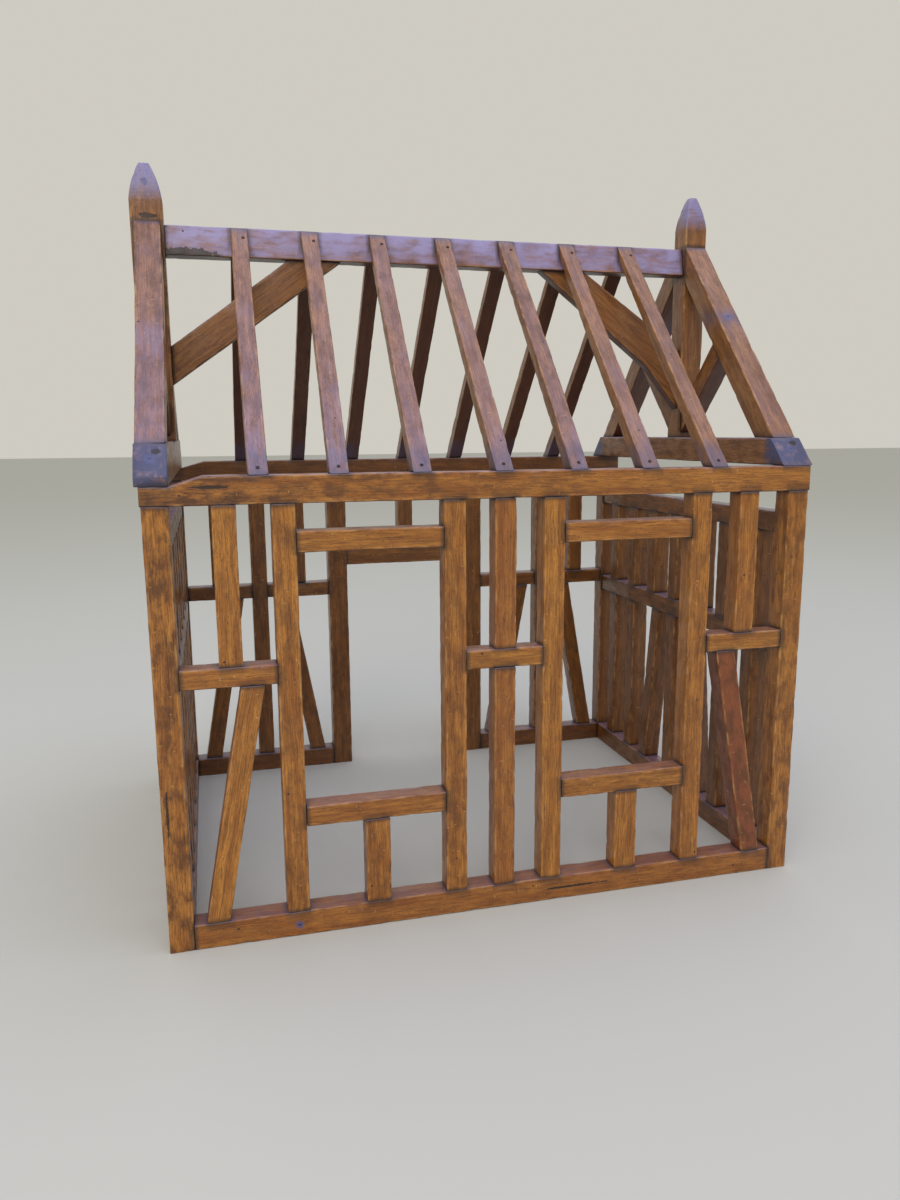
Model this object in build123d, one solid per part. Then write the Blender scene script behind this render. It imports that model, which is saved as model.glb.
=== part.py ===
"""Open timber frame of a small gabled house, cut from square hardwood sticks.

Millimetres. X runs along the long walls, Y from front to back, Z up from the floor.
The walls are laid out about their own middle. The whole is then moved along X, so that
the origin is on the floor under the middle of the house with its king posts. Every stick
is a solid of its own: the sticks butt against each other, and nails hold the rafters.
"""
import os
from math import hypot

from build123d import *

# ---- the house ----
wall_length = 385.0          # over the corner posts, left to right
wall_depth = 283.0           # over the corner posts, front to back
eaves_height = 244.5         # floor to the underside of the wall plates

# ---- stick sizes ----
post_size = 13.5             # corner posts, square
stud_size = 12.5             # studs, braces and window posts, square
sill_height = 14.5
plate_height = 15.0
plate_overhang = 0.6         # wall plates past the corner posts
rail_height = 12.5           # gable rails
wall_rail_thickness = 11.0   # middle rails of the long walls
window_header_thickness = 11.5
window_sill_thickness = 11.7

# ---- long walls ----
side_bay = 51.0              # clear width between a corner post and a window post
window_width = 80.0          # clear width between the two posts of a window
window_sill_height = 64.9    # floor to the underside of the window's sill rail
window_head_height = 218.5   # floor to the underside of the window's header
short_stud_width = 14.0      # the stud under each window
short_stud_strays = {"left": 0.0, "right": 2.5}
side_stud_strays = {"left": 1.5, "right": -0.8}
wall_rail_height = 148.0     # floor to the underside of the middle rails
door_width = 101.0           # clear width of the doorway in the back wall
door_height = 172.5
door_post_width = 15.5
door_header_height = 13.0
brace_gap = 7.0              # from a wall brace's end to the post beside it

# ---- gable walls ----
gable_rail_height = 141.0    # floor to the underside of the middle rail
gable_top_rail_height = 218.5
gable_end_gap = 18.25        # clear width between a corner post and the first stud
gable_upper_studs = 7        # between the middle rail and the top rail
gable_brace_head_share = 0.725   # wall's middle to the middle of a brace's head, in stud pitches
gable_brace_foot_share = 1.19    # and to the middle of its foot

# ---- roof trusses ----
tie_beam_widths = {"left": 16.5, "right": 20.0}
tie_beam_height = 16.5       # above the wall plates
tie_beam_overhangs = {"left": 2.6, "right": 2.0}   # past the corner posts
tie_seats = {"left": 5.0, "right": 0.0}            # let into the wall plates by this much
tie_seat_ramp = 17.0         # the plate's top slopes down over this length to the seat
tie_end_run = 15.5           # length of the sloping cut at each end of a tie beam
principal_width = 15.5       # left to right
principal_thickness = 15.5
principal_head_rise = 0.5    # above the ridge
strut_width = 13.0
strut_thickness = 12.8
strut_foot_gap = 3.2         # above the tie beam, on the king post
strut_slope = 1.04           # rise over run
king_widths = {"left": 19.5, "right": 16.0}        # left to right
king_depths = {"left": 16.0, "right": 16.5}        # front to back
head_shoulder_rise = 13.0    # ridge's top to where a king post's pointed head starts
head_height = 22.0
head_tip_share = 0.30        # the blunt tip's width over the king post's width
head_bulge = 0.22            # how far out the taper's middle stands, 0 for straight

# ---- ridge and common rafters ----
ridge_height = 18.5
ridge_top_height = 408.0
ridge_top_width = 5.0
ridge_bottom_width = 14.0
rafter_width = 10.5
rafter_thickness = 9.0
rafter_count = 7
rafter_pitch = 44.0
rafter_foot_strays = (-1.8, -4.0, -3.0, -0.5, 0.0, 0.0, 0.5)   # front feet, along the plate
ridge_brace_thickness = 9.0
# Heights on the king post are shares of its clear height from tie beam to ridge.
left_brace_foot_share = 0.31
left_brace_top_share = 0.52
left_brace_run = 75.0        # king post to the near edge of the brace's head
left_brace_head = 34.0       # length of its head along the ridge
right_brace_foot_share = 0.18
right_brace_top_share = 0.545
right_brace_run = 75.0
right_brace_head = 32.0
right_brace_knee = 24.0      # king post to the bend in the brace's lower edge
right_brace_knee_share = 0.43

# ---- nails ----
nail_shank = 1.3
nail_head = 2.8
nail_head_thickness = 0.6
nail_clearance = 0.05        # all round the shank
nail_length = 12.0           # under the head
head_nail_offset = 2.2       # from a rafter's middle, so that nails pass in the ridge
foot_nail_run = 3.5          # rafter's toe to the nail in its foot
head_nail_run = 6.5          # ridge's top edge to the nail in a rafter's head

half_length = wall_length / 2
half_depth = wall_depth / 2
plate_top = eaves_height + plate_height
tie_top = plate_top + tie_beam_height
ridge_underside = ridge_top_height - ridge_height
king_clear = ridge_underside - tie_top
head_shoulder_height = ridge_top_height + head_shoulder_rise
head_tip_height = head_shoulder_height + head_height
tie_outer_faces = {side: half_length + tie_beam_overhangs[side] for side in ("left", "right")}
truss_middles = {side: tie_outer_faces[side] - tie_beam_widths[side] / 2
                 for side in ("left", "right")}

nodes = {}


def slab(x_from, x_to, y_from, y_to, z_from, z_to):
    """A square stick between two opposite corners."""
    size = (x_to - x_from, y_to - y_from, z_to - z_from)
    middle = ((x_from + x_to) / 2, (y_from + y_to) / 2, (z_from + z_to) / 2)
    return Pos(*middle) * Box(*size)


def prism(outline, axis, start, thickness, stray=0.0):
    """A stick with a flat outline, swept from start along X or Y. Along X, its first end
    may stray sideways from its last, and then its sides lean."""
    if axis == "X":
        low = min(across for across, up in outline)
        high = max(across for across, up in outline)
        corners = [(start + stray * (high - across) / (high - low), across, up)
                   for across, up in outline]
        direction = (1, 0, 0)
    else:
        corners = [(across, start, up) for across, up in outline]
        direction = (0, 1, 0)
    face = make_face(Polyline(*corners, close=True))
    return extrude(face, amount=thickness, dir=direction)


def long_wall_stick(side, x_from, x_to, z_from, z_to, depth):
    """A stick in the front wall (side -1) or the back wall (side 1), flush outside."""
    outer = side * half_depth
    inner = outer - side * depth
    return slab(x_from, x_to, min(outer, inner), max(outer, inner), z_from, z_to)


def gable_stick(side, y_from, y_to, z_from, z_to, depth):
    """A stick in the left gable (side -1) or the right gable (side 1), flush outside."""
    outer = side * half_length
    inner = outer - side * depth
    return slab(min(outer, inner), max(outer, inner), y_from, y_to, z_from, z_to)


def leaning_outline(foot, head, z_from, z_to, width):
    """Outline of a leaning stick with level ends, from its middle at foot and head."""
    half = width / 2
    return [(foot - half, z_from), (foot + half, z_from), (head + half, z_to), (head - half, z_to)]


def long_wall_brace(side, foot, head, z_from, z_to):
    outline = leaning_outline(foot, head, z_from, z_to, stud_size)
    start = -half_depth if side < 0 else half_depth - stud_size
    return prism(outline, "Y", start, stud_size)


def gable_brace(side, foot, head, z_from, z_to):
    outline = leaning_outline(foot, head, z_from, z_to, stud_size)
    start = -half_length if side < 0 else half_length - stud_size
    return prism(outline, "X", start, stud_size)


def mirrored_y(outline):
    return [(-across, up) for across, up in reversed(outline)]


# ---- corner posts, sills and wall plates ----
post_inner_x = half_length - post_size
post_inner_y = half_depth - post_size
for side_name, side in (("left", -1), ("right", 1)):
    for wall_name, wall in (("front", -1), ("back", 1)):
        x_ends = sorted((side * post_inner_x, side * half_length))
        nodes[f"{wall_name}_{side_name}_post"] = long_wall_stick(
            wall, *x_ends, 0, eaves_height, post_size)
    nodes[f"{side_name}_gable_sill"] = gable_stick(
        side, -post_inner_y, post_inner_y, 0, sill_height, post_size)

# A plate's top slopes down to the seat of a tie beam that is let into it.
plate_half = half_length + plate_overhang
seat_ends = {side: half_length - tie_beam_widths[side] + tie_beam_overhangs[side]
             for side in ("left", "right")}
plate_outline = [(-plate_half, eaves_height), (plate_half, eaves_height)]
for side_name, side in (("right", 1), ("left", -1)):
    seat = plate_top - tie_seats[side_name]
    if tie_seats[side_name] > 0:
        corners = [(side * plate_half, seat), (side * seat_ends[side_name], seat),
                   (side * (seat_ends[side_name] - tie_seat_ramp), plate_top)]
    else:
        corners = [(side * plate_half, plate_top)]
    plate_outline += corners if side > 0 else corners[::-1]
for wall_name, wall in (("front", -1), ("back", 1)):
    start = -half_depth if wall < 0 else half_depth - post_size
    nodes[f"{wall_name}_wall_plate"] = prism(plate_outline, "Y", start, post_size)

nodes["front_sill"] = long_wall_stick(
    -1, -post_inner_x, post_inner_x, 0, sill_height, post_size)

# ---- front wall: window posts, headers, sill rails and short studs ----
window_outer_edge = post_inner_x - side_bay
window_outer_face = window_outer_edge - stud_size
window_inner_face = window_outer_face - window_width
window_inner_edge = window_inner_face - stud_size
window_middle = (window_outer_face + window_inner_face) / 2
window_sill_top = window_sill_height + window_sill_thickness
window_head_top = window_head_height + window_header_thickness
half_stud = stud_size / 2
half_short_stud = short_stud_width / 2

for side_name, side in (("left", -1), ("right", 1)):
    outer_ends = sorted((side * window_outer_edge, side * window_outer_face))
    inner_ends = sorted((side * window_inner_edge, side * window_inner_face))
    clear_ends = sorted((side * window_outer_face, side * window_inner_face))
    short_middle = side * window_middle + short_stud_strays[side_name]
    short_ends = (short_middle - half_short_stud, short_middle + half_short_stud)
    nodes[f"{side_name}_window_outer_post"] = long_wall_stick(
        -1, *outer_ends, sill_height, eaves_height, stud_size)
    nodes[f"{side_name}_window_inner_post"] = long_wall_stick(
        -1, *inner_ends, sill_height, eaves_height, stud_size)
    nodes[f"{side_name}_window_header"] = long_wall_stick(
        -1, *clear_ends, window_head_height, window_head_top, stud_size)
    nodes[f"{side_name}_window_sill_rail"] = long_wall_stick(
        -1, *clear_ends, window_sill_height, window_sill_top, stud_size)
    nodes[f"{side_name}_window_short_stud"] = long_wall_stick(
        -1, *short_ends, sill_height, window_sill_height, stud_size)

# ---- front wall: rails, studs and braces beside and between the windows ----
wall_rail_top = wall_rail_height + wall_rail_thickness
side_bay_middle = (post_inner_x + window_outer_edge) / 2
for side_name, side in (("left", -1), ("right", 1)):
    bay_ends = sorted((side * window_outer_edge, side * post_inner_x))
    stud_middle = side * side_bay_middle + side_stud_strays[side_name]
    stud_ends = (stud_middle - half_stud, stud_middle + half_stud)
    brace_foot = side * (post_inner_x - brace_gap - half_stud)
    brace_head = side * (window_outer_edge + brace_gap + half_stud)
    nodes[f"front_{side_name}_rail"] = long_wall_stick(
        -1, *bay_ends, wall_rail_height, wall_rail_top, stud_size)
    nodes[f"front_{side_name}_stud"] = long_wall_stick(
        -1, *stud_ends, wall_rail_top, eaves_height, stud_size)
    nodes[f"front_{side_name}_brace"] = long_wall_brace(
        -1, brace_foot, brace_head, sill_height, wall_rail_height)

nodes["front_centre_rail"] = long_wall_stick(
    -1, -window_inner_edge, window_inner_edge, wall_rail_height, wall_rail_top, stud_size)
nodes["front_centre_studs"] = [
    long_wall_stick(-1, -half_stud, half_stud, sill_height, wall_rail_height, stud_size),
    long_wall_stick(-1, -half_stud, half_stud, wall_rail_top, eaves_height, stud_size),
]

# ---- back wall: doorway ----
door_inner = door_width / 2
door_outer = door_inner + door_post_width
door_header_top = door_height + door_header_height
for side_name, side in (("left", -1), ("right", 1)):
    post_ends = sorted((side * door_inner, side * door_outer))
    nodes[f"door_{side_name}_post"] = long_wall_stick(1, *post_ends, 0, eaves_height, post_size)
nodes["door_header"] = long_wall_stick(
    1, -door_inner, door_inner, door_height, door_header_top, stud_size)
nodes["door_header_stud"] = long_wall_stick(
    1, -half_stud, half_stud, door_header_top, eaves_height, stud_size)
nodes["back_sills"] = [
    long_wall_stick(1, -post_inner_x, -door_outer, 0, sill_height, post_size),
    long_wall_stick(1, door_outer, post_inner_x, 0, sill_height, post_size),
]

# ---- back wall: the panel on each side of the doorway ----
panel_middle = (post_inner_x + door_outer) / 2
inner_bay_middle = (door_outer + panel_middle - half_stud) / 2
outer_bay_middle = (post_inner_x + panel_middle + half_stud) / 2
for side_name, side in (("left", -1), ("right", 1)):
    stud_heights = (
        (panel_middle, sill_height),
        (inner_bay_middle, wall_rail_top),
        (outer_bay_middle, wall_rail_top),
    )
    nodes[f"back_{side_name}_studs"] = [
        long_wall_stick(1, side * middle - half_stud, side * middle + half_stud,
                        foot, eaves_height, stud_size)
        for middle, foot in stud_heights
    ]
    bays = ((door_outer, panel_middle - half_stud), (panel_middle + half_stud, post_inner_x))
    nodes[f"back_{side_name}_rails"] = [
        long_wall_stick(1, *sorted((side * near, side * far)),
                        wall_rail_height, wall_rail_top, stud_size)
        for near, far in bays
    ]
    head_from_stud = half_stud + brace_gap + half_stud
    foot_from_edge = brace_gap + half_stud
    nodes[f"back_{side_name}_braces"] = [
        long_wall_brace(1, side * (door_outer + foot_from_edge),
                        side * (panel_middle - head_from_stud), sill_height, wall_rail_height),
        long_wall_brace(1, side * (post_inner_x - foot_from_edge),
                        side * (panel_middle + head_from_stud), sill_height, wall_rail_height),
    ]

# ---- gable walls ----
gable_stud_pitch = (post_inner_y - gable_end_gap - half_stud) * 2 / (gable_upper_studs - 1)
gable_rail_top = gable_rail_height + rail_height
gable_top_rail_top = gable_top_rail_height + rail_height
upper_places = [gable_stud_pitch * (k - (gable_upper_studs - 1) / 2)
                for k in range(gable_upper_studs)]
brace_bay = 1.5 * gable_stud_pitch
lower_places = [place for place in upper_places
                if abs(place) < half_stud or abs(place) > brace_bay]
for side_name, side in (("left", -1), ("right", 1)):
    nodes[f"{side_name}_gable_middle_rail"] = gable_stick(
        side, -post_inner_y, post_inner_y, gable_rail_height, gable_rail_top, stud_size)
    nodes[f"{side_name}_gable_top_rail"] = gable_stick(
        side, -post_inner_y, post_inner_y, gable_top_rail_height, gable_top_rail_top, stud_size)
    uppers = [gable_stick(side, place - half_stud, place + half_stud,
                          gable_rail_top, gable_top_rail_height, stud_size)
              for place in upper_places]
    lowers = [gable_stick(side, place - half_stud, place + half_stud,
                          sill_height, gable_rail_height, stud_size)
              for place in lower_places]
    nodes[f"{side_name}_gable_studs"] = uppers + lowers
    nodes[f"{side_name}_gable_braces"] = [
        gable_brace(side, wall * gable_brace_foot_share * gable_stud_pitch,
                    wall * gable_brace_head_share * gable_stud_pitch,
                    sill_height, gable_rail_height)
        for wall in (-1, 1)
    ]


# ---- king post with a four-sided pointed head ----
def pointed_outline(width):
    """Upright outline of a king post, its pointed head rounded on both sides."""
    half = width / 2
    tip = half * head_tip_share
    rise = head_tip_height - head_shoulder_height
    bulge_across = (half + tip) / 2 + head_bulge * (half - tip) * 0.5
    bulge_up = head_shoulder_height + rise * (0.5 + head_bulge * 0.25)
    right_arc = ThreePointArc((half, head_shoulder_height), (bulge_across, bulge_up),
                              (tip, head_tip_height))
    left_arc = ThreePointArc((-tip, head_tip_height), (-bulge_across, bulge_up),
                             (-half, head_shoulder_height))
    return [
        Line((-half, tie_top), (half, tie_top)),
        Line((half, tie_top), (half, head_shoulder_height)),
        right_arc,
        Line((tip, head_tip_height), (-tip, head_tip_height)),
        left_arc,
        Line((-half, head_shoulder_height), (-half, tie_top)),
    ]


def king_post(width, depth):
    """The front outline and the side outline, each swept through, and what they share."""
    front = Plane.XZ * make_face(pointed_outline(width))
    side = Plane.YZ * make_face(pointed_outline(depth))
    through_front = extrude(front, amount=depth / 2, both=True)
    through_side = extrude(side, amount=width / 2, both=True)
    return through_front & through_side


# ---- trusses: tie beam, king post, principal rafters and struts ----
def meeting(height, from_face, slope, span, drop):
    """Where a line that rises outward from the king post meets a rafter's underside."""
    underside_at_king = tie_top + slope * span - drop
    run = (underside_at_king - height) / (slope + strut_slope)
    return (-from_face - run, height + strut_slope * run)


principal_foot = half_depth - tie_end_run
principal_head = ridge_top_height + principal_head_rise
for side_name, side in (("left", -1), ("right", 1)):
    middle = side * truss_middles[side_name]
    tie_width = tie_beam_widths[side_name]
    tie_low = plate_top - tie_seats[side_name]
    tie_outline = [(-half_depth, tie_low), (half_depth, tie_low),
                   (half_depth, plate_top), (principal_foot, tie_top),
                   (-principal_foot, tie_top), (-half_depth, plate_top)]
    if tie_seats[side_name] == 0:
        tie_outline = [tie_outline[0], tie_outline[1], tie_outline[3], tie_outline[4]]
    nodes[f"{side_name}_tie_beam"] = prism(tie_outline, "X", middle - tie_width / 2, tie_width)
    nodes[f"{side_name}_king_post"] = Pos(middle, 0, 0) * king_post(
        king_widths[side_name], king_depths[side_name])

    # The underside of a principal rafter is its upper side dropped by this much.
    king_face = king_depths[side_name] / 2
    span = principal_foot - king_face
    slope = (principal_head - tie_top) / span
    drop = principal_thickness * hypot(1, slope)
    principal_outline = [
        (-principal_foot, tie_top), (-principal_foot + drop / slope, tie_top),
        (-king_face, principal_head - drop), (-king_face, principal_head)]
    start = middle - principal_width / 2
    nodes[f"{side_name}_principal_rafters"] = [
        prism(principal_outline, "X", start, principal_width),
        prism(mirrored_y(principal_outline), "X", start, principal_width),
    ]

    strut_low = tie_top + strut_foot_gap
    strut_high = strut_low + strut_thickness * hypot(1, strut_slope)
    strut_outline = [(-king_face, strut_low), (-king_face, strut_high),
                     meeting(strut_high, king_face, slope, span, drop),
                     meeting(strut_low, king_face, slope, span, drop)]
    strut_start = middle - strut_width / 2
    nodes[f"{side_name}_truss_struts"] = [
        prism(strut_outline, "X", strut_start, strut_width),
        prism(mirrored_y(strut_outline), "X", strut_start, strut_width),
    ]

# ---- ridge beam between the king posts, and its two braces ----
ridge_left = -truss_middles["left"] + king_widths["left"] / 2
ridge_right = truss_middles["right"] - king_widths["right"] / 2
ridge_bottom_half = ridge_bottom_width / 2
ridge_top_half = ridge_top_width / 2
ridge_outline = [(-ridge_bottom_half, ridge_underside), (ridge_bottom_half, ridge_underside),
                 (ridge_top_half, ridge_top_height), (-ridge_top_half, ridge_top_height)]
ridge_beam = prism(ridge_outline, "X", ridge_left, ridge_right - ridge_left)

left_outline = [
    (ridge_left, tie_top + left_brace_foot_share * king_clear),
    (ridge_left, tie_top + left_brace_top_share * king_clear),
    (ridge_left + left_brace_run, ridge_underside),
    (ridge_left + left_brace_run + left_brace_head, ridge_underside)]
right_outline = [
    (ridge_right, tie_top + right_brace_foot_share * king_clear),
    (ridge_right, tie_top + right_brace_top_share * king_clear),
    (ridge_right - right_brace_run, ridge_underside),
    (ridge_right - right_brace_run - right_brace_head, ridge_underside),
    (ridge_right - right_brace_knee, tie_top + right_brace_knee_share * king_clear)]
brace_start = -ridge_brace_thickness / 2
nodes["left_ridge_brace"] = prism(left_outline, "Y", brace_start, ridge_brace_thickness)
nodes["right_ridge_brace"] = prism(right_outline, "Y", brace_start, ridge_brace_thickness)

# ---- common rafters: feet level on the plate, heads cut to the ridge's sloping side ----
rafter_slope = (ridge_top_height - plate_top) / (half_depth - ridge_top_half)
rafter_drop = rafter_thickness * hypot(1, rafter_slope)
side_lean = (ridge_bottom_half - ridge_top_half) / ridge_height
head_run = rafter_drop / (rafter_slope + 1 / side_lean)
rafter_outline = [
    (-half_depth, plate_top),
    (-half_depth + rafter_drop / rafter_slope, plate_top),
    (-ridge_top_half - head_run, ridge_top_height - head_run / side_lean),
    (-ridge_top_half, ridge_top_height)]
rafter_places = [rafter_pitch * (k - (rafter_count - 1) / 2) for k in range(rafter_count)]


def nail_shaft(radius, length):
    """A round shaft from the origin into the front roof, square to its slope."""
    inward = Plane(origin=(0, 0, 0), z_dir=(0, rafter_slope, -1))
    return inward * extrude(Circle(radius), amount=length)


def nail():
    """A nail with its flat head on the surface that it is driven through."""
    outward = Plane(origin=(0, 0, 0), z_dir=(0, -rafter_slope, 1))
    head = outward * extrude(Circle(nail_head / 2), amount=nail_head_thickness)
    return nail_shaft(nail_shank / 2, nail_length) + head


def nail_hole():
    return nail_shaft(nail_shank / 2 + nail_clearance, nail_length + nail_clearance)


def mirrored_back(solid):
    return solid.mirror(Plane.XZ)


def drilled(solid, holes):
    for item in holes:
        solid = solid - item
    return solid


def along_rafters(item, head_offset, strays):
    """Copies of a nail or hole: one at the foot and one at the head of each rafter."""
    span = half_depth - ridge_top_half
    copies = []
    for place, stray in zip(rafter_places, strays):
        for run, offset in ((foot_nail_run, 0), (span - head_nail_run, head_offset)):
            across = place + offset + stray * (1 - run / span)
            copies.append(Pos(across, -half_depth + run, plate_top + rafter_slope * run) * item)
    return copies


def common_rafters(strays, holes):
    """The rafters of the front slope, each drilled for its own two nails."""
    rafters = []
    for index, (place, stray) in enumerate(zip(rafter_places, strays)):
        rafter = prism(rafter_outline, "X", place - rafter_width / 2, rafter_width, stray)
        rafters.append(drilled(rafter, holes[2 * index:2 * index + 2]))
    return rafters


even = (0.0,) * rafter_count
front_holes = along_rafters(nail_hole(), head_nail_offset, rafter_foot_strays)
back_holes = along_rafters(nail_hole(), -head_nail_offset, even)
front_rafters = common_rafters(rafter_foot_strays, front_holes)
back_rafters = common_rafters(even, back_holes)
back_holes = [mirrored_back(hole) for hole in back_holes]
nodes["front_common_rafters"] = front_rafters
nodes["back_common_rafters"] = [mirrored_back(rafter) for rafter in back_rafters]
nodes["ridge_beam"] = drilled(ridge_beam, front_holes[1::2] + back_holes[1::2])
nodes["front_wall_plate"] = drilled(nodes["front_wall_plate"], front_holes[0::2])
nodes["back_wall_plate"] = drilled(nodes["back_wall_plate"], back_holes[0::2])
front_nails = along_rafters(nail(), head_nail_offset, rafter_foot_strays)
back_nails = [mirrored_back(item) for item in along_rafters(nail(), -head_nail_offset, even)]
nodes["rafter_nails"] = front_nails + back_nails

# ---- the whole is moved so that the origin lies under its middle ----
left_reach = max(tie_outer_faces["left"], truss_middles["left"] + king_widths["left"] / 2)
right_reach = max(tie_outer_faces["right"], truss_middles["right"] + king_widths["right"] / 2)
shift = Pos((left_reach - right_reach) / 2, 0, 0)

# ---- one STEP file for each node ----
os.makedirs("parts", exist_ok=True)
for name, shape in nodes.items():
    solids = shape if isinstance(shape, list) else [shape]
    bodies = [solid for item in solids for solid in (shift * item).solids()]
    whole = bodies[0] if len(bodies) == 1 else Compound(children=bodies)
    whole.label = name
    export_step(whole, f"parts/{name}.step")
    print(name, len(bodies))
print("nodes", len(nodes))
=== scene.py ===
import random
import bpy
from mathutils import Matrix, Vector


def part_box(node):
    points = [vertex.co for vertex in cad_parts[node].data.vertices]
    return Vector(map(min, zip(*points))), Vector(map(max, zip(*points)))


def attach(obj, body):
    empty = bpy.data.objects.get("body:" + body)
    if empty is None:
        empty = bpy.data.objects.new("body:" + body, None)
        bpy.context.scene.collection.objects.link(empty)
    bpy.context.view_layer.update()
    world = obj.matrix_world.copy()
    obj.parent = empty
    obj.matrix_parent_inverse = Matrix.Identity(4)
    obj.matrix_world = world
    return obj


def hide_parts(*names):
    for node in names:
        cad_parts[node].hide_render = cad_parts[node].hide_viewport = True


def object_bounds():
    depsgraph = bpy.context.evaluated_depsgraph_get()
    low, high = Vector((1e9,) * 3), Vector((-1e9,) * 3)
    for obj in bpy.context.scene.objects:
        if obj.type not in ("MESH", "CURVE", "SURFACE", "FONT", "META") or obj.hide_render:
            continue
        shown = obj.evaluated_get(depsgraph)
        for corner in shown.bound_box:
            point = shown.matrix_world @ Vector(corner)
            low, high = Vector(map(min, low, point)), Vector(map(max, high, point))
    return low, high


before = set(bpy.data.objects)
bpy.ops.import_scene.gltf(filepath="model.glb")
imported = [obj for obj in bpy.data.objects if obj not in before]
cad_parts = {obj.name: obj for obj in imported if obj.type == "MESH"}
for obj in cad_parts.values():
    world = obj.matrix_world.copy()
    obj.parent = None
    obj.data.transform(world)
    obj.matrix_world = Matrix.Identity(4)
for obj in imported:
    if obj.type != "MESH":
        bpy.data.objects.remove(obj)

import zlib
from math import cos, pi, radians, sin

import bmesh
import bpy
import numpy as np
from mathutils import Matrix, Vector, noise
from mathutils.bvhtree import BVHTree

cad_box = [list(corner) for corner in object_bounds()]
MM = 0.001

# ---------------------------------------------------------------------------------------
# Corner posts, sills and wall plates
# Square sticks of beech-like hardwood, sawn, planed by hand and stained, then varnished.
# The posts stand on the floor, the sills butt between them and the plates lie on top.
# ---------------------------------------------------------------------------------------


def linear(code):
    """An sRGB hex colour as the linear colour that a shader takes."""
    parts = [int(code[i:i + 2], 16) / 255 for i in (1, 3, 5)]
    return [p / 12.92 if p <= 0.04045 else ((p + 0.055) / 1.055) ** 2.4 for p in parts] + [1.0]


def add(tree, kind, inputs=None, **settings):
    """Adds a node with its settings. An input is a value, or the socket that it is linked to."""
    made = tree.nodes.new(kind)
    for name, value in settings.items():
        setattr(made, name, value)
    for name, value in (inputs or {}).items():
        if isinstance(value, bpy.types.NodeSocket):
            tree.links.new(value, made.inputs[name])
        else:
            made.inputs[name].default_value = value
    return made


def streaks(tree, where, long_mm, wide_mm, detail, low, high):
    """Noise stretched along the grain, as a mask from 0 to 1. Sizes are of one streak."""
    scale = (1 / (long_mm * MM), 1 / (wide_mm * MM), 1 / (wide_mm * MM))
    placed = add(tree, "ShaderNodeMapping", {"Vector": where, "Scale": scale})
    cloud = add(tree, "ShaderNodeTexNoise", {
        "Vector": placed.outputs["Vector"], "Scale": 1.0, "Detail": detail, "Roughness": 0.6})
    mask = add(tree, "ShaderNodeMapRange", {
        "Value": cloud.outputs["Fac"],
        "From Min": low, "From Max": high}, interpolation_type="SMOOTHSTEP")
    return mask.outputs["Result"]


def blend(tree, factor, under, over, mode="MIX"):
    """Lays one colour over another by a mask."""
    made = tree.nodes.new("ShaderNodeMix")
    made.data_type = "RGBA"
    made.blend_type = mode
    for socket, value in ((made.inputs[0], factor), (made.inputs[6], under), (made.inputs[7], over)):
        if isinstance(value, bpy.types.NodeSocket):
            tree.links.new(value, socket)
        else:
            socket.default_value = value
    return made.outputs[2]


def times(tree, one, other):
    made = add(tree, "ShaderNodeMath", {0: one, 1: other}, operation="MULTIPLY")
    return made.outputs["Value"]


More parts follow.
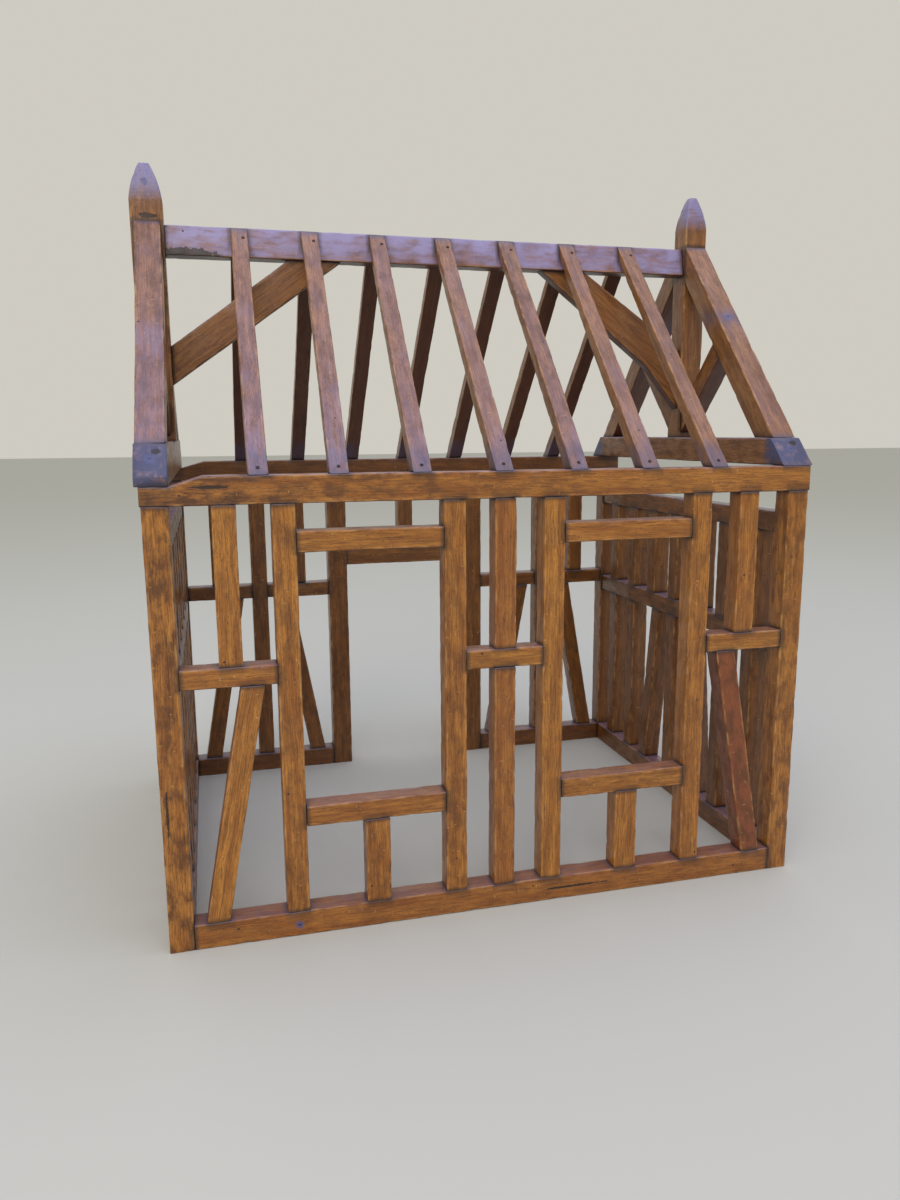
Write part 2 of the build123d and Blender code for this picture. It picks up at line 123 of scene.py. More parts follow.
def varnished_hardwood(name, pale, body, deep, red):
    """Stained hardwood under old varnish. The eye sees long soft streaks, short dark pores,
    arrises rubbed pale with a painted highlight, dirt with painted shade in the joints, painted shade on
    what faces down, and a cool bloom with a painted reflection of the sky on what faces up."""
    material = bpy.data.materials.new(name)
    material.use_nodes = True
    tree = material.node_tree
    tree.nodes.clear()
    read = {}
    for key in ("grain", "knot", "scar", "wear_and_highlight", "grime_and_shade", "haze_and_sheen", "ink", "tone", "redness"):
        found = add(tree, "ShaderNodeAttribute", attribute_name=key)
        read[key] = found.outputs["Vector" if key in ("grain", "knot", "scar") else "Fac"]

    # The grain wanders a millimetre or two off the line of the stick.
    drift = add(tree, "ShaderNodeMapping", {"Vector": read["grain"], "Scale": (28.0, 90.0, 90.0)})
    wander = add(tree, "ShaderNodeTexNoise", {
        "Vector": drift.outputs["Vector"], "Scale": 1.0, "Detail": 2.0})
    centred = add(tree, "ShaderNodeVectorMath", {
        0: wander.outputs["Color"], 1: (0.5, 0.5, 0.5)}, operation="SUBTRACT")
    small = add(tree, "ShaderNodeVectorMath", {
        0: centred.outputs["Vector"], "Scale": 3.5 * MM}, operation="SCALE")
    bent = add(tree, "ShaderNodeVectorMath", {
        0: read["grain"], 1: small.outputs["Vector"]}, operation="ADD")
    where = bent.outputs["Vector"]

    figure = streaks(tree, where, 55, 3.6, 3.0, 0.34, 0.68)
    fibre = streaks(tree, where, 18, 0.62, 5.0, 0.42, 0.66)
    pores = streaks(tree, where, 2.8, 0.26, 2.0, 0.58, 0.68)
    checks = streaks(tree, where, 24, 0.55, 1.0, 0.735, 0.765)
    blotch = streaks(tree, where, 12, 6, 5.0, 0.40, 0.66)
    rubbed_and_highlit = streaks(tree, where, 9, 2.2, 4.0, 0.42, 0.66)
    patchiness = streaks(tree, where, 14, 5, 4.0, 0.28, 0.66)
    marks = streaks(tree, where, 1.1, 4.0, 1.0, 0.735, 0.77)

    shade = blend(tree, figure, linear(pale), linear(body))
    shade = blend(tree, times(tree, fibre, 0.62), shade, linear(deep))
    shade = blend(tree, times(tree, read["redness"], 0.85), shade, linear(red))
    shade = blend(tree, times(tree, read["tone"], blotch), shade, linear(deep))
    shade = blend(tree, times(tree, pores, 0.75), shade, linear("#2b1809"))
    shade = blend(tree, times(tree, checks, 0.85), shade, linear("#1c0e05"))
    # Arrises are painted lighter: partly rubbed wear, partly a painted highlight.
    edge = times(tree, times(tree, read["wear_and_highlight"], rubbed_and_highlit), 0.5)
    shade = blend(tree, edge, shade, linear("#c99a60"))
    shade = blend(tree, times(tree, marks, 0.5), shade, linear("#d3a970"))

    # Bloom and a painted reflection of the sky lie where the surface looks up, and thin out towards the
    # upright faces.
    facing = add(tree, "ShaderNodeNewGeometry")
    parts = add(tree, "ShaderNodeSeparateXYZ", {"Vector": facing.outputs["Normal"]})
    up = add(tree, "ShaderNodeMapRange", {
        "Value": parts.outputs["Z"], "From Min": 0.02, "From Max": 0.5},
        interpolation_type="SMOOTHSTEP")
    lifted = add(tree, "ShaderNodeMapRange", {
        "Value": patchiness, "To Min": 0.35, "To Max": 1.0})
    bloom_and_sheen = times(tree, times(tree, up.outputs["Result"], read["haze_and_sheen"]), lifted.outputs["Result"])
    shade = blend(tree, bloom_and_sheen, shade, linear("#968ebc"))

    # Faces that look down are painted a dark red-brown shade.
    down = add(tree, "ShaderNodeMapRange", {
        "Value": parts.outputs["Z"], "From Min": -0.15, "From Max": -0.6, "To Max": 0.8},
        interpolation_type="SMOOTHSTEP")
    shade = blend(tree, down.outputs["Result"], shade, linear("#451d09"))

    # The rafter feet, the tie beams' ends and the knots are stained blue-black.
    stain = times(tree, read["ink"], lifted.outputs["Result"])
    shade = blend(tree, stain, shade, linear("#40446a"))
    frayed = add(tree, "ShaderNodeTexNoise", {"Vector": read["knot"], "Scale": 1.3, "Detail": 3.0})
    reach = add(tree, "ShaderNodeVectorMath", {0: read["knot"]}, operation="LENGTH")
    ragged = add(tree, "ShaderNodeMath", {
        0: reach.outputs["Value"], 1: frayed.outputs["Fac"]}, operation="ADD")
    ring = add(tree, "ShaderNodeMapRange", {
        "Value": ragged.outputs["Value"], "From Min": 1.5, "From Max": 1.0, "To Max": 0.75},
        interpolation_type="SMOOTHSTEP")
    core = add(tree, "ShaderNodeMapRange", {
        "Value": ragged.outputs["Value"], "From Min": 0.85, "From Max": 0.6, "To Max": 0.9},
        interpolation_type="SMOOTHSTEP")
    shade = blend(tree, ring.outputs["Result"], shade, linear("#4a4f84"))
    shade = blend(tree, core.outputs["Result"], shade, linear("#1c1a22"))

    # A scar is where the wood has split or broken away, ragged at its rim and dark inside.
    torn = add(tree, "ShaderNodeTexNoise", {"Vector": read["grain"], "Scale": 420.0, "Detail": 3.0})
    depth = add(tree, "ShaderNodeVectorMath", {0: read["scar"]}, operation="LENGTH")
    rim = add(tree, "ShaderNodeMath", {
        0: depth.outputs["Value"], 1: torn.outputs["Fac"]}, operation="ADD")
    broken = add(tree, "ShaderNodeMapRange", {
        "Value": rim.outputs["Value"], "From Min": 1.36, "From Max": 1.22, "To Max": 0.92},
        interpolation_type="SMOOTHSTEP")
    shade = blend(tree, broken.outputs["Result"], shade, linear("#1e0f07"))

    # Small dark holes, at most a millimetre and a half wide, thinly scattered.
    holes = add(tree, "ShaderNodeTexVoronoi", {"Vector": read["grain"], "Scale": 1 / (13 * MM)})
    pricked = add(tree, "ShaderNodeMapRange", {
        "Value": holes.outputs["Distance"], "From Min": 0.062, "From Max": 0.045, "To Max": 0.9})
    shade = blend(tree, pricked.outputs["Result"], shade, linear("#160c07"))

    # Where sticks meet the colour darkens, partly dirt and partly painted shade; on faces that look up it
    # is grey dust.
    dirt_and_shade = add(tree, "ShaderNodeMapRange", {"Value": read["grime_and_shade"], "From Min": 0.15, "From Max": 1.0})
    dust_and_shade_colour = blend(tree, up.outputs["Result"], linear("#22130a"), linear("#57526a"))
    shade = blend(tree, times(tree, dirt_and_shade.outputs["Result"], 0.95), shade, dust_and_shade_colour)

    # Varnish stands thick and glossy in places and is dull where it is rubbed or dusty.
    dull = add(tree, "ShaderNodeMapRange", {
        "Value": blotch, "To Min": 0.34, "To Max": 0.50})
    duller = add(tree, "ShaderNodeMath", {
        0: dull.outputs["Result"], 1: times(tree, read["wear_and_highlight"], 0.10)}, operation="ADD")
    split = add(tree, "ShaderNodeMath", {
        0: times(tree, checks, 3.0), 1: times(tree, broken.outputs["Result"], 5.0)}, operation="ADD")
    cut = add(tree, "ShaderNodeMath", {0: pores, 1: split.outputs["Value"]}, operation="ADD")
    relief = add(tree, "ShaderNodeMath", {
        0: times(tree, fibre, 0.5), 1: cut.outputs["Value"]}, operation="ADD")
    bump = add(tree, "ShaderNodeBump", {
        "Height": relief.outputs["Value"], "Strength": 0.55, "Distance": 0.12 * MM}, invert=True)
    shader = add(tree, "ShaderNodeBsdfPrincipled", {
        "Base Color": shade, "Roughness": duller.outputs["Value"], "Normal": bump.outputs["Normal"],
        "IOR": 1.5, "Coat Weight": 0.22, "Coat Roughness": 0.22, "Coat IOR": 1.5})
    add(tree, "ShaderNodeOutputMaterial", {"Surface": shader.outputs["BSDF"]})
    return material


def solids_of(name):
    """The separate sticks of a frame node, each as a list of its corner points."""
    whole = bmesh.new()
    whole.from_mesh(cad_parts[name].data)
    bmesh.ops.remove_doubles(whole, verts=whole.verts, dist=1e-6)
    left = set(whole.verts)
    groups = []
    while left:
        reached = [left.pop()]
        for vertex in reached:
            for edge in vertex.link_edges:
                other = edge.other_vert(vertex)
                if other in left:
                    left.discard(other)
                    reached.append(other)
        groups.append([vertex.co.copy() for vertex in reached])
    whole.free()
    return sorted(groups, key=lambda points: tuple(round(c, 5) for c in sum(points, Vector())))


def swept_outline(name):
    """A stick with a hollow corner, rebuilt from its flat side, which has no nail holes."""
    whole = bmesh.new()
    whole.from_mesh(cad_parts[name].data)
    bmesh.ops.remove_doubles(whole, verts=whole.verts, dist=1e-6)
    bmesh.ops.dissolve_limit(whole, angle_limit=radians(1.0), verts=whole.verts, edges=whole.edges)
    side = max(whole.faces, key=lambda face: round(abs(face.normal.y) * face.calc_area(), 9))
    loop = [vertex.co.copy() for vertex in side.verts]
    depths = [vertex.co.y for vertex in whole.verts]
    whole.free()
    solid = bmesh.new()
    near = [solid.verts.new((point.x, min(depths), point.z)) for point in loop]
    far = [solid.verts.new((point.x, max(depths), point.z)) for point in loop]
    solid.faces.new(near)
    solid.faces.new(far[::-1])
    for k in range(len(loop)):
        solid.faces.new((near[k - 1], far[k - 1], far[k], near[k]))
    bmesh.ops.recalc_face_normals(solid, faces=solid.faces)
    return solid


def hull_of(points):
    """The convex solid round the points. Nail holes close, because the nails fill them."""
    solid = bmesh.new()
    for point in points:
        solid.verts.new(point)
    made = bmesh.ops.convex_hull(solid, input=solid.verts)
    inside = {item for item in made["geom_interior"] + made["geom_unused"]
              if isinstance(item, bmesh.types.BMVert)}
    bmesh.ops.delete(solid, geom=list(inside), context="VERTS")
    bmesh.ops.dissolve_limit(solid, angle_limit=radians(1.0), verts=solid.verts, edges=solid.edges)
    return solid


# Every stick of the house, with the frame node it belongs to.
hollow_cornered = ("front_wall_plate", "back_wall_plate", "right_ridge_brace")
sticks = []
for node_name in sorted(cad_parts):
    if node_name in hollow_cornered:
        sticks.append({"node": node_name, "solid": swept_outline(node_name)})
    elif node_name != "rafter_nails":
        for points in solids_of(node_name):
            sticks.append({"node": node_name, "solid": hull_of(points)})

# One search tree over all sticks tells how near a point lies to its neighbours.
tree_points, tree_faces, tree_owner = [], [], []
for number, stick in enumerate(sticks):
    copy = stick["solid"].copy()
    bmesh.ops.triangulate(copy, faces=copy.faces)
    start = len(tree_points)
    copy.verts.index_update()
    tree_points += [vertex.co.copy() for vertex in copy.verts]
    for face in copy.faces:
        tree_faces.append([start + vertex.index for vertex in face.verts])
        tree_owner.append(number)
    copy.free()
neighbours = BVHTree.FromPolygons(tree_points, tree_faces)

ring_step = 2.6 * MM
dirt_and_shade_reach = 3.2 * MM
broken_end = 0.28 * MM
edge_strip = 0.8 * MM
wave_depth = 0.16 * MM
dent_depth = 0.7 * MM
dent_floor = 0.12
mark_reach = 14 * MM


def long_axis(solid):
    longest = max(solid.edges, key=lambda edge: round(edge.calc_length(), 6))
    line = (longest.verts[1].co - longest.verts[0].co).normalized()
    return line if max(line, key=abs) > 0 else -line


def round_over(solid, axis, arris, end_arris):
    """Planes off the long arrises, then breaks the sharp edges round the ends."""
    def sharp(along):
        return [edge for edge in solid.edges
                if len(edge.link_faces) == 2 and edge.calc_face_angle(0) > radians(28)
                and (abs((edge.verts[0].co - edge.verts[1].co).normalized().dot(axis)) > 0.9) == along]
    bmesh.ops.bevel(solid, geom=sharp(True), offset=arris, segments=3, profile=0.55,
                    affect="EDGES", clamp_overlap=True)
    bmesh.ops.bevel(solid, geom=sharp(False), offset=end_arris, segments=2, profile=0.5,
                    affect="EDGES", clamp_overlap=True)


def finish_stick(number, seed, arris, bow, haze_and_sheen, redness, tone, ink, marks):
    """Shapes one stick: rounded arrises, a ring of points every few millimetres, then the
    slight bow, plane marks and dents of hand work. Returns its points, faces and masks."""
    stick = sticks[number]
    solid = stick["solid"]
    chance = random.Random(seed)
    axis = long_axis(solid)
    centre = sum((vertex.co for vertex in solid.verts), Vector()) / len(solid.verts)
    spans = [vertex.co.dot(axis) for vertex in solid.verts]
    low, high = min(spans), max(spans)
    round_over(solid, axis, arris * chance.uniform(0.75, 1.25), broken_end)
    flat = [face for face in solid.faces if min(edge.calc_length() for edge in face.edges) > 1.6 * arris]
    bmesh.ops.inset_individual(solid, faces=flat, thickness=edge_strip, use_even_offset=True)
    across = axis.orthogonal().normalized()
    beside = axis.cross(across)
    for way in (Vector((1, 0, 0)), Vector((0, 1, 0)), Vector((0, 0, 1))):
        if abs(way.dot(axis)) < 0.8:
            way = (way - axis * way.dot(axis)).normalized()
            bmesh.ops.bisect_plane(solid, geom=solid.verts[:] + solid.edges[:] + solid.faces[:],
                                   plane_co=centre, plane_no=way, dist=1e-6)
    count = max(2, int((high - low) / ring_step))
    for k in range(1, count):
        at = axis * (low + (high - low) * k / count)
        bmesh.ops.bisect_plane(solid, geom=solid.verts[:] + solid.edges[:] + solid.faces[:],
                               plane_co=at, plane_no=axis, dist=1e-6)
    bmesh.ops.recalc_face_normals(solid, faces=solid.faces)
    solid.normal_update()
    solid.verts.index_update()

    shift = Vector([chance.uniform(-9, 9) for _ in range(3)])
    side = Vector([chance.uniform(-1, 1) for _ in range(3)])
    side = (side - axis * side.dot(axis)).normalized() * bow * chance.uniform(0.3, 1.0)
    points, wear_and_highlight, grime_and_shade, grain = [], [], [], []
    for vertex in solid.verts:
        place = vertex.co.copy()
        share = (place.dot(axis) - low) / (high - low)
        across_face = max(abs(face.normal.dot(axis)) for face in vertex.link_faces)
        angles = [face.normal for face in vertex.link_faces]
        spread = min((a.dot(b) for a in angles for b in angles), default=1.0)
        edge_mask = 1.0 if spread < 0.985 else 0.0
        moved = place + side * sin(pi * min(max(share, 0), 1))
        wave = noise.noise(place * 55 + shift)
        moved += vertex.normal * wave * wave_depth * (1 if across_face < 0.5 else 0.2)
        dent = noise.noise(place * 160 + shift * 2)
        if edge_mask and dent > dent_floor:
            moved -= vertex.normal * (dent - dent_floor) * dent_depth
        points.append(moved)
        wear_and_highlight.append(edge_mask)
        # Nearness to the other sticks gives the dirt and painted shade of the joints.
        near = [hit[3] for hit in neighbours.find_nearest_range(place, dirt_and_shade_reach)
                if tree_owner[hit[2]] != number]
        grime_and_shade.append(1 - min(near) / dirt_and_shade_reach if near else 0.0)
        local = place - centre
        grain.append((local.dot(axis), local.dot(across), local.dot(beside)))
    offset = Vector((chance.uniform(0, 3), chance.uniform(0, 3), chance.uniform(0, 3)))
    grain = [tuple(value + add_on for value, add_on in zip(row, offset)) for row in grain]
    faces = [[vertex.index for vertex in face.verts] for face in solid.faces]
    solid.free()
    blemish = {key: [(9.0, 9.0, 9.0)] * len(points) for key in ("knot", "scar")}
    for key, place, size in marks:
        if (place - centre - axis * (place - centre).dot(axis)).length < mark_reach:
            blemish[key] = [tuple((point[i] - place[i]) / size[i] for i in range(3)) for point in points]
    return {"points": points, "faces": faces, "wear_and_highlight": wear_and_highlight, "grime_and_shade": grime_and_shade, "grain": grain,
            "knot": blemish["knot"], "scar": blemish["scar"],
            "haze_and_sheen": haze_and_sheen(points) if callable(haze_and_sheen) else haze_and_sheen,
            "ink": ink(points) if ink else 0.0,
            "tone": (tone(points) if callable(tone)
                     else min(1.0, max(0.0, tone + chance.uniform(-0.2, 0.2)))),
            "redness": max(0.0, redness + chance.uniform(-0.1, 0.15))}


low_corner, high_corner = [Vector(corner) for corner in cad_box]


def timber(name, material, arris=0.65 * MM, bow=0.25 * MM, haze_and_sheen=0.35, redness=0.1,
           tone=0.4, ink=None, knots=(), scars=()):
    """Replaces a frame node by its finished sticks, as one piece. A knot or scar is its
    place, as shares of the node's box, and its half widths along X, Y and Z in mm. A mask
    is a number, or a function of the points: the haze mask is bloom with a painted sky reflection, and ink
    a blue-black stain."""
    low, high = [Vector(corner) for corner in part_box(name)]
    spots = [(key, Vector([low[i] + share[i] * (high[i] - low[i]) for i in range(3)]),
              [half * MM for half in halves])
             for key, found in (("knot", knots), ("scar", scars)) for share, halves in found]
    numbers = [k for k, stick in enumerate(sticks) if stick["node"] == name]
    made = [finish_stick(k, zlib.crc32(name.encode()) + k, arris, bow, haze_and_sheen, redness, tone, ink, spots)
            for k in numbers]
    points, faces = [], []
    for stick in made:
        start = len(points)
        points += [[min(max(point[i], low_corner[i]), high_corner[i]) for i in range(3)]
                   for point in stick["points"]]
        faces += [[start + index for index in face] for face in stick["faces"]]
    mesh = bpy.data.meshes.new(name + "_wood")
    mesh.from_pydata(points, [], faces)
    for key in ("wear_and_highlight", "grime_and_shade", "haze_and_sheen", "ink", "tone", "redness"):
        values = [value for stick in made
                  for value in (stick[key] if isinstance(stick[key], list)
                                else [stick[key]] * len(stick["points"]))]
        mesh.attributes.new(key, "FLOAT", "POINT").data.foreach_set("value", values)
    for key in ("grain", "knot", "scar"):
        values = [value for stick in made for row in stick[key] for value in row]
        mesh.attributes.new(key, "FLOAT_VECTOR", "POINT").data.foreach_set("vector", values)
    mesh.shade_smooth()
    mesh.materials.append(material)
    piece = bpy.data.objects.new(name + "_wood", mesh)
    bpy.context.scene.collection.objects.link(piece)
    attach(piece, "root")
    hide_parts(name)
    return piece


front_wood = varnished_hardwood("varnished_beech_front", "#bd8030", "#9a5f18", "#572f0b", "#7a3a1c")
# The back wood is a darker copy of the front wood, painted shade for the members further back.
shaded_back_wood = varnished_hardwood("varnished_beech_back_shaded", "#966024", "#774816", "#46270b", "#5f2e16")
roof_wood = varnished_hardwood("varnished_beech_roof", "#a5703a", "#825126", "#4d2c13", "#6b371f")

timber("front_left_post", front_wood, arris=0.8 * MM, tone=1.0,
       scars=[((0.25, 0.0, 0.33), (0.8, 2, 16))])
timber("front_right_post", front_wood, arris=0.8 * MM, tone=0.6)
timber("front_sill", front_wood, haze_and_sheen=0.2, redness=0.45,
       knots=[((0.16, 0.0, 0.45), (3.2, 3.2, 3.2))],
       scars=[((0.62, 0.0, 0.5), (26, 2, 0.9))])


def clamp(value):
    return min(1.0, max(0.0, value))


def plate_tone(points):
    """The front plate is darkest at its left end and has faded towards the right."""
    return [clamp(0.55 - 2.6 * point[0]) for point in points]


timber("front_wall_plate", front_wood, arris=0.85 * MM, bow=0.0, haze_and_sheen=0.3, redness=0.2,
       tone=plate_tone, scars=[((0.09, 0.0, 0.62), (11, 2, 1.1))])
for name in ("back_left_post", "back_right_post", "back_sills", "back_wall_plate"):
    timber(name, shaded_back_wood, redness=0.3)
for name in ("left_gable_sill", "right_gable_sill"):
    timber(name, shaded_back_wood)

# ---------------------------------------------------------------------------------------
# Front wall
# Two windows between studs, with rails, short studs and leaning braces beside them, all
# of the same stick, cut square and butted end to side.
# ---------------------------------------------------------------------------------------
for side in ("left", "right"):
    for part in ("window_outer_post", "window_inner_post", "window_header", "window_sill_rail",
                 "window_short_stud"):
        # The right window header is painted paler, a painted highlight.
        highlight_paler = (side, part) == ("right", "window_header")
        timber(f"{side}_{part}", front_wood, haze_and_sheen=0.2, tone=0.0 if highlight_paler else 0.4)
    for part in ("rail", "stud"):
        timber(f"front_{side}_{part}", front_wood, haze_and_sheen=0.25)
timber("front_left_brace", front_wood)
timber("front_right_brace", front_wood, redness=0.95, tone=0.7)
timber("front_centre_rail", front_wood, haze_and_sheen=0.25)
timber("front_centre_studs", front_wood, redness=0.45)

# ---------------------------------------------------------------------------------------
# Back wall
# A doorway between two heavier posts, and on each side of it a panel halved by a stud.
# The sticks are the same, but their colour is painted darker as shade.
# ---------------------------------------------------------------------------------------
for side in ("left", "right"):
    timber(f"door_{side}_post", shaded_back_wood)
    for part in ("studs", "rails", "braces"):
        timber(f"back_{side}_{part}", shaded_back_wood, redness=0.15)
timber("door_header", shaded_back_wood)
timber("door_header_stud", shaded_back_wood)

# ---------------------------------------------------------------------------------------
# Gable walls
# Close studs between the sill, a middle rail and a top rail, with a pair of braces that
# lean towards the middle. They take the back wall's darker colour, which is painted shade.
# ---------------------------------------------------------------------------------------
for side in ("left", "right"):
    for part in ("top_rail", "middle_rail", "studs", "braces"):
        timber(f"{side}_gable_{part}", shaded_back_wood, haze_and_sheen=0.5)

# ---------------------------------------------------------------------------------------
# Roof trusses
# A tie beam with sloping ends, a king post with a pointed head, two rafters and two
# struts at each end of the house. Their tops are cool and hazy, with bloom and a painted sky reflection.
# ---------------------------------------------------------------------------------------
house_end = high_corner.y
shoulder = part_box("ridge_beam")[1][2] + 9 * MM
tie_stain_run = 24 * MM
foot_stain_run = 17 * MM
stain_fade = 8 * MM
bloom_and_sheen_fade = 6 * MM
band_half = 9 * MM


def tie_end_stain(points):
    """Full on the sloping ends of a tie beam, gone a little way in."""
    return [1.3 * clamp((abs(point[1]) - house_end + tie_stain_run) / stain_fade) for point in points]


def head_bloom_and_sheen(points):
    """A king post is brown below the ridge and blue-grey on its pointed head, with bloom and a painted sky
    reflection.
    """
    return [0.5 + 1.9 * clamp((point[2] - shoulder) / bloom_and_sheen_fade) for point in points]


def head_sides_bloom_and_sheen(points):
    """The head's upright faces take some of the same colour, bloom with a painted sky reflection."""
    return [0.4 * clamp((point[2] - shoulder) / stain_fade) for point in points]


def slope_bloom_and_sheen(points):
    """Patches of bloom and painted sky reflection on the rafters, thicker towards the eaves and towards
    the left.
    """
    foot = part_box("front_common_rafters")[0][2]
    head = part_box("front_common_rafters")[1][2]
    made = []
    for point in points:
        lowness = clamp((head - point[2]) / (head - foot))
        patch = 0.4 * max(0.0, noise.noise(Vector(point) * 38))
        made.append((0.05 + 0.42 * lowness ** 2 + patch) * min(1.0, max(0.25, 0.6 - 2.4 * point[0])))
    return made


def knot_band(points):
    """A violet band across the right rafter, where its knot lies."""
    foot, head = [corner[2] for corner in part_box("right_principal_rafters")]
    middle = foot * 0.4 + head * 0.6
    return [0.6 * max(0.0, 1 - abs(point[2] - middle) / band_half) for point in points]


def foot_stain(points):
    """The lowest centimetre or so of a rafter, stained round its nail."""
    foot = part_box("front_common_rafters")[0][2]
    return [0.6 * clamp((foot + foot_stain_run - point[2]) / stain_fade) for point in points]


for side in ("left", "right"):
    timber(f"{side}_tie_beam", roof_wood, arris=0.75 * MM, haze_and_sheen=0.7, ink=tie_end_stain,
           knots=[((0.5, 0.03, 0.62), (4, 4, 3.4))],
           scars=[((0.68, 0.045, 0.8), (3.2, 4, 1.8))])
    timber(f"{side}_king_post", roof_wood, arris=0.75 * MM, haze_and_sheen=head_bloom_and_sheen,
           ink=head_sides_bloom_and_sheen,
           knots=[((0.5, 0.18, 0.93), (2.8, 4, 3.2))] if side == "left" else [],
           scars=[((0.52, 0.0, 0.812), (6.5, 3, 1.8))] if side == "left" else [])
    timber(f"{side}_principal_rafters", roof_wood, arris=0.75 * MM, bow=0.8 * MM,
           haze_and_sheen=slope_bloom_and_sheen, ink=knot_band if side == "right" else None,
           knots=[((0.5, 0.28, 0.60), (4.2, 4.2, 4.2))] if side == "right" else [],
           scars=[((0.5, 0.44, 0.91), (1.4, 3, 3))] if side == "right" else [])
    timber(f"{side}_truss_struts", roof_wood, tone=0.6)

# ---------------------------------------------------------------------------------------
# Ridge, its braces and the common rafters
# The ridge has leaning sides. Thin rafters run from it down to the wall plates.
# ---------------------------------------------------------------------------------------


def ridge_bloom_and_sheen(points):
    """The whole length of the ridge is cool with bloom and a painted sky reflection, on its leaning sides
    as well.
    """
    return [2.1 + 1.2 * noise.noise(Vector(point) * 30) for point in points]


timber("ridge_beam", roof_wood, haze_and_sheen=ridge_bloom_and_sheen, bow=0.0,
       scars=[((0.035, 0.0, 0.05), (24, 5, 5))])
for side in ("left", "right"):
    timber(f"{side}_ridge_brace", roof_wood, haze_and_sheen=0.5, tone=0.1)
for side in ("front", "back"):
    timber(f"{side}_common_rafters", roof_wood, arris=0.6 * MM, bow=0.5 * MM,
           haze_and_sheen=slope_bloom_and_sheen, ink=foot_stain)

# ---------------------------------------------------------------------------------------
# Rafter nails
# Small wire nails with flat, slightly domed heads, driven square to each slope. Their
# heads are dull dark steel and stand just proud of the wood.
# ---------------------------------------------------------------------------------------


def dull_steel(name):
    """Dark oxidised steel: the eye sees a soft grey sheen broken by rust-brown specks."""
    material = bpy.data.materials.new(name)
    material.use_nodes = True
    tree = material.node_tree
    tree.nodes.clear()
    place = add(tree, "ShaderNodeTexCoord").outputs["Object"]
    specks = add(tree, "ShaderNodeTexNoise", {"Vector": place, "Scale": 2600.0, "Detail": 3.0})
    spotted = add(tree, "ShaderNodeMapRange", {
        "Value": specks.outputs["Fac"], "From Min": 0.45, "From Max": 0.62})
    shade = blend(tree, spotted.outputs["Result"], linear("#3b3a3f"), linear("#46291a"))
    rough = add(tree, "ShaderNodeMapRange", {
        "Value": spotted.outputs["Result"], "To Min": 0.42, "To Max": 0.75})
    bump = add(tree, "ShaderNodeBump", {
        "Height": specks.outputs["Fac"], "Strength": 0.5, "Distance": 0.05 * MM})
    shader = add(tree, "ShaderNodeBsdfPrincipled", {
        "Base Color": shade, "Metallic": 0.8, "Roughness": rough.outputs["Result"],
        "Normal": bump.outputs["Normal"]})
    add(tree, "ShaderNodeOutputMaterial", {"Surface": shader.outputs["BSDF"]})
    return material


steel = dull_steel("dull_nail_steel")
head_radius = 1.0 * MM
head_rise = 0.45 * MM
head_thickness = 0.6 * MM
crown_depth = 0.05 * MM
shank_radius = 0.6 * MM
shank_length = 10 * MM
point_length = 1 * MM

# One nail, point down: rings of its outline from the crown of the head to the point.
outline = [(0.35, 1.0), (0.8, 0.86), (1.0, 0.5), (0.96, 0.1)]
rings = [(head_radius * share, head_rise * rise) for share, rise in outline]
rings += [(shank_radius, 0.0), (shank_radius, -shank_length)]
rings.append((0.2 * shank_radius, -shank_length - point_length))
sides = 12
nail_points = [(radius * cos(2 * pi * k / sides), radius * sin(2 * pi * k / sides), rise)
               for radius, rise in rings for k in range(sides)]
nail_faces = [list(range(sides)), [(len(rings) - 1) * sides + k for k in reversed(range(sides))]]
for ring in range(len(rings) - 1):
    for k in range(sides):
        after = (k + 1) % sides
        nail_faces.append([ring * sides + k, (ring + 1) * sides + k,
                           (ring + 1) * sides + after, ring * sides + after])
nail_mesh = bpy.data.meshes.new("one_nail")
nail_mesh.from_pydata(nail_points, [], nail_faces)
one_nail = bpy.data.objects.new("one_nail", nail_mesh)

# Every nail of the frame gives the place of its head and the direction it was driven in.
heads, drives = [], []
for points in solids_of("rafter_nails"):
    cloud = np.array([list(point) for point in points])
    line = np.linalg.svd(cloud - cloud.mean(axis=0))[2][0]
    line = line * (1 if line[2] > 0 else -1)
    along = cloud @ line
    crown = cloud[along > along.max() - crown_depth].mean(axis=0)
    heads.append(crown - line * head_thickness)
    drives.append(line)
spots = bpy.data.meshes.new("nail_places")
spots.from_pydata([tuple(head) for head in heads], [], [])
spots.attributes.new("drive", "FLOAT_VECTOR", "POINT").data.foreach_set(
    "vector", [value for line in drives for value in line])

group = bpy.data.node_groups.new("driven_nails", "GeometryNodeTree")
for label, kind, way in (
        ("Geometry", "NodeSocketGeometry", "INPUT"), ("Nail", "NodeSocketObject", "INPUT"),
        ("Lean", "NodeSocketFloat", "INPUT"), ("Seed", "NodeSocketInt", "INPUT"),
        ("Steel", "NodeSocketMaterial", "INPUT"), ("Geometry", "NodeSocketGeometry", "OUTPUT")):
    group.interface.new_socket(label, socket_type=kind, in_out=way)
given = add(group, "NodeGroupInput").outputs
drive = add(group, "GeometryNodeInputNamedAttribute", {"Name": "drive"}, data_type="FLOAT_VECTOR")
upright = add(group, "FunctionNodeAlignRotationToVector", {"Vector": drive.outputs["Attribute"]}, axis="Z")
shape = add(group, "GeometryNodeObjectInfo", {"Object": given["Nail"]})
spun = add(group, "FunctionNodeRandomValue", {
    "Seed": given["Seed"], "Min": (0, 0, -pi), "Max": (0, 0, pi)}, data_type="FLOAT_VECTOR")
leant = add(group, "FunctionNodeRandomValue", {
    "Seed": given["Seed"], "Min": (-1, -1, 0), "Max": (1, 1, 0)}, data_type="FLOAT_VECTOR")
lean = add(group, "ShaderNodeVectorMath", {
    0: leant.outputs["Value"], "Scale": given["Lean"]}, operation="SCALE")
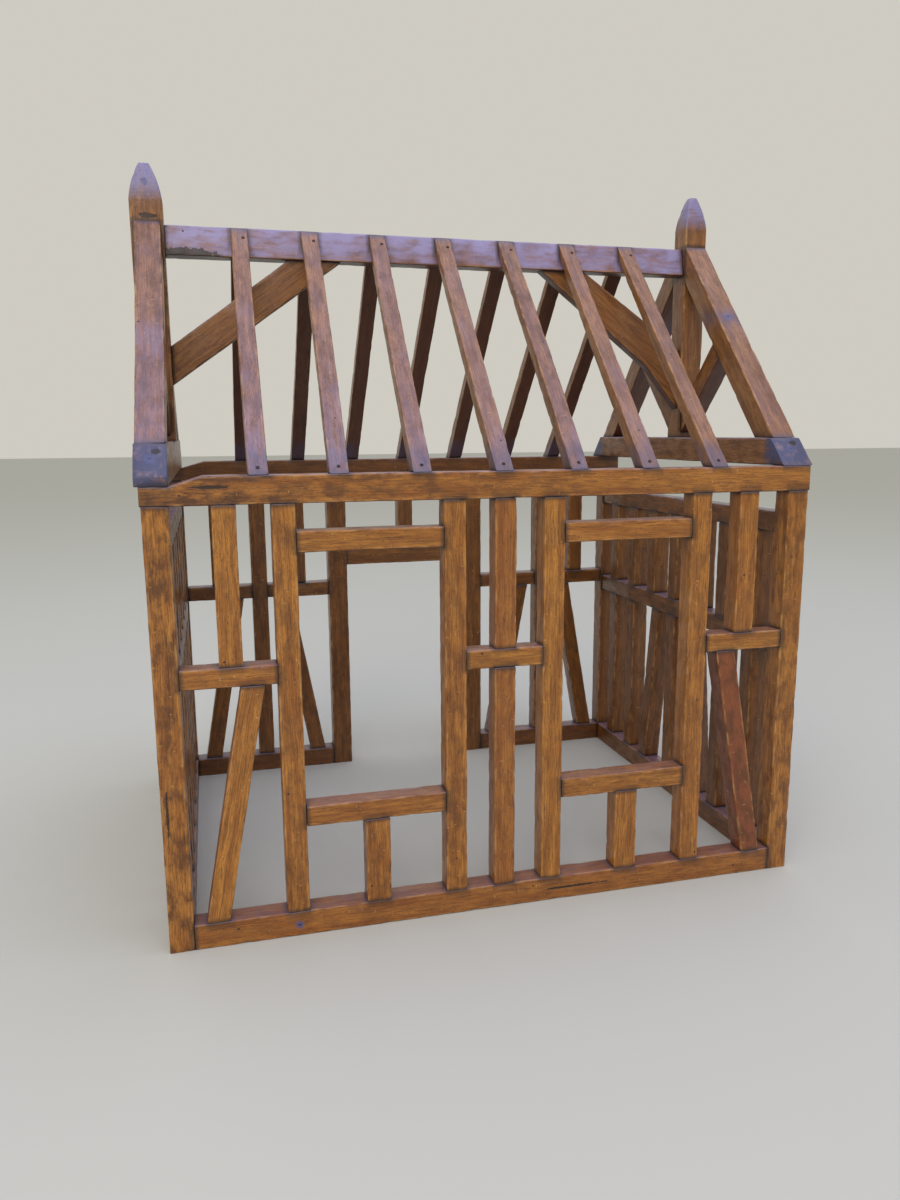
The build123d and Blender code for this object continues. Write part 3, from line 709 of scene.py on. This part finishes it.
turned = add(group, "ShaderNodeVectorMath", {
    0: spun.outputs["Value"], 1: lean.outputs["Vector"]}, operation="ADD")
placed = add(group, "GeometryNodeInstanceOnPoints", {
    "Points": given["Geometry"], "Instance": shape.outputs["Geometry"],
    "Rotation": upright.outputs["Rotation"]})
spin = add(group, "GeometryNodeRotateInstances", {
    "Instances": placed.outputs["Instances"], "Rotation": turned.outputs["Vector"]})
single = add(group, "GeometryNodeRealizeInstances", {"Geometry": spin.outputs["Instances"]})
coated = add(group, "GeometryNodeSetMaterial", {
    "Geometry": single.outputs["Geometry"], "Material": given["Steel"]})
add(group, "NodeGroupOutput", {"Geometry": coated.outputs["Geometry"]})

holder = bpy.data.objects.new("nail_places", spots)
bpy.context.scene.collection.objects.link(holder)
driven = holder.modifiers.new("driven_nails", "NODES")
driven.node_group = group
sockets = {item.name: item.identifier for item in group.interface.items_tree if item.in_out == "INPUT"}
for label, value in (("Nail", one_nail), ("Lean", 0.04), ("Seed", 7), ("Steel", steel)):
    driven[sockets[label]] = value
ready = bpy.data.meshes.new_from_object(holder.evaluated_get(bpy.context.evaluated_depsgraph_get()))
bpy.data.objects.remove(holder)
bpy.data.objects.remove(one_nail)
for attribute in [item for item in ready.attributes if item.name == "drive"]:
    ready.attributes.remove(attribute)
ready.name = "rafter_nail_heads"
nails = bpy.data.objects.new("rafter_nail_heads", ready)
bpy.context.scene.collection.objects.link(nails)
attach(nails, "root")
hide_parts("rafter_nails")

# ---------------------------------------------------------------------------------------
# Stage: a pale floor, soft light and the camera
# A wide flat floor under an even sky, with two large square lamps, one in front and one
# above. The camera stands in front of the house, to the left of its middle.
# ---------------------------------------------------------------------------------------
floor_half = 12.0
floor_mesh = bpy.data.meshes.new("floor")
corners = [(-1, -1), (1, -1), (1, 1), (-1, 1)]
floor_mesh.from_pydata([(x * floor_half, y * floor_half, 0) for x, y in corners], [], [(0, 1, 2, 3)])
floor = bpy.data.objects.new("floor", floor_mesh)
bpy.context.scene.collection.objects.link(floor)
paper = bpy.data.materials.new("pale_floor_paper")
paper.use_nodes = True
paper.node_tree.nodes["Principled BSDF"].inputs["Base Color"].default_value = linear("#c9ccc9")
paper.node_tree.nodes["Principled BSDF"].inputs["Roughness"].default_value = 0.9
floor_mesh.materials.append(paper)

world = bpy.data.worlds.new("soft_room")
world.use_nodes = True
bpy.context.scene.world = world
sky = world.node_tree
sky.nodes["Background"].inputs["Color"].default_value = linear("#e2ded4")
sky.nodes["Background"].inputs["Strength"].default_value = 0.82


def soft_light(name, place, target, size, power, colour):
    lamp = bpy.data.lights.new(name, "AREA")
    lamp.shape = "SQUARE"
    lamp.size = size
    lamp.energy = power
    lamp.color = linear(colour)[:3]
    holder = bpy.data.objects.new(name, lamp)
    holder.location = place
    holder.rotation_euler = (Vector(target) - Vector(place)).to_track_quat("-Z", "Y").to_euler()
    bpy.context.scene.collection.objects.link(holder)


soft_light("front_light", (-0.9, -1.9, 1.5), (0, 0, 0.2), 1.6, 24, "#fff4e6")
soft_light("top_light", (0.3, -0.2, 2.2), (0, 0, 0.2), 1.8, 17, "#cfd6ff")

camera_place = (-0.1575, -0.6217, 0.2800)
yaw = radians(14.703)
pitch = radians(10.389)
roll = radians(-0.389)
ahead = Vector((sin(yaw) * cos(pitch), cos(yaw) * cos(pitch), -sin(pitch)))
level_right = Vector((cos(yaw), -sin(yaw), 0))
level_above = Vector((sin(yaw) * sin(pitch), cos(yaw) * sin(pitch), cos(pitch)))
right = level_right * cos(roll) + level_above * sin(roll)
above = level_above * cos(roll) - level_right * sin(roll)
lens = bpy.data.cameras.new("camera")
lens.sensor_fit = "VERTICAL"
lens.sensor_height = 36.0
lens.lens = 27.29
camera = bpy.data.objects.new("camera", lens)
turn = Matrix((right, above, -ahead)).transposed().to_4x4()
camera.matrix_world = Matrix.Translation(camera_place) @ turn
bpy.context.scene.collection.objects.link(camera)
bpy.context.scene.camera = camera
bpy.context.scene.view_settings.view_transform = "Standard"
